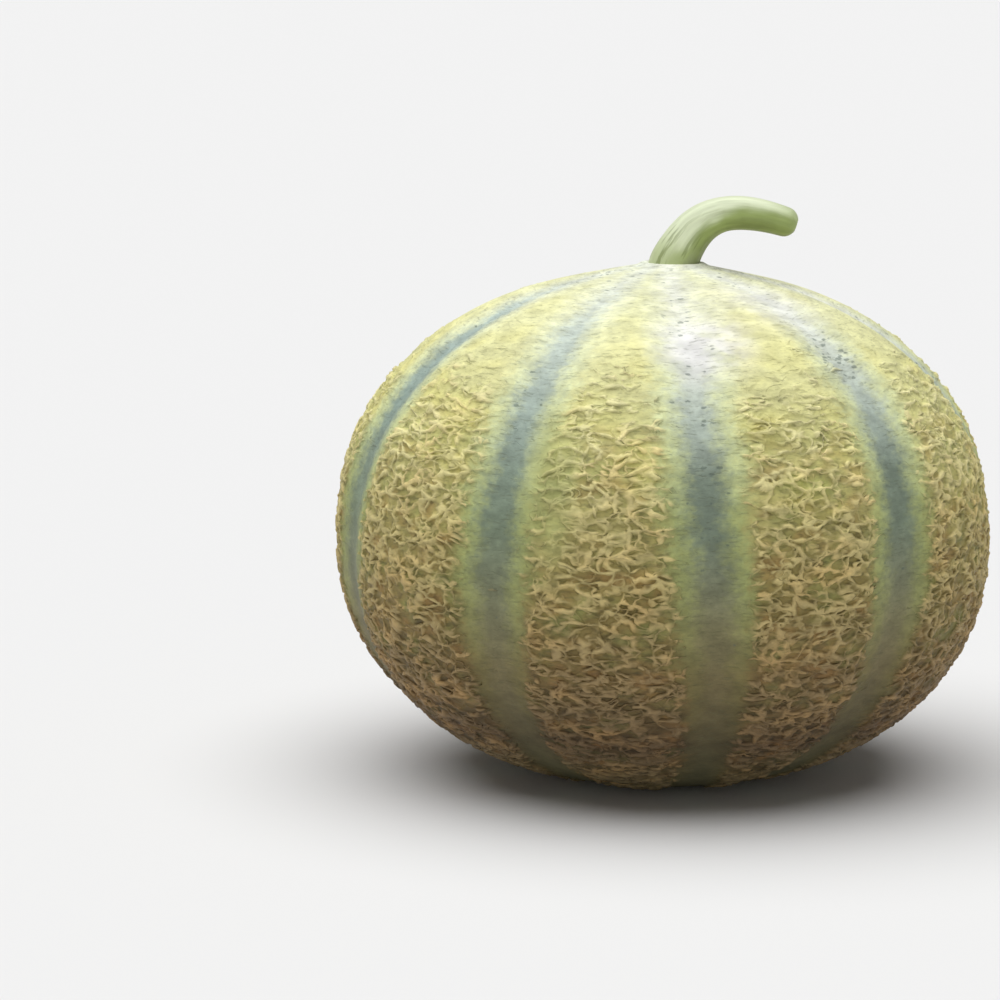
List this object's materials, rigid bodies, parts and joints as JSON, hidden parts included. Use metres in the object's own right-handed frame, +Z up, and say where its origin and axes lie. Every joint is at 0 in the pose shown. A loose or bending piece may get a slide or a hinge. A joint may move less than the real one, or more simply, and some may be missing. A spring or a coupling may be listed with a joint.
{
  "type": "cantaloupe melon",
  "caption": "Whole ripe netted cantaloupe with broad ribs between green sutures, a raised corky net and a short curved stalk, standing on its flattened blossom end.",
  "frame": {"origin": "middle of the flat spot that the melon rests on, at the bottom of its bounding box", "axes": "+Z up from the blossom end to the stalk end, -Y the front, +X the side that the stalk bends to"},
  "size_m": [0.1598, 0.1604, 0.1402],
  "materials": {
    "rind": "matte skin: cream-tan corky net over olive-green rind, smooth blue-grey-green sutures, pale crown",
    "stalk": "smooth fresh green stem with a soft sheen, paler on top and at the cut end"
  },
  "bodies": {
    "root": {"fruit": "rind", "stalk": "stalk"}
  },
  "joints": []
}
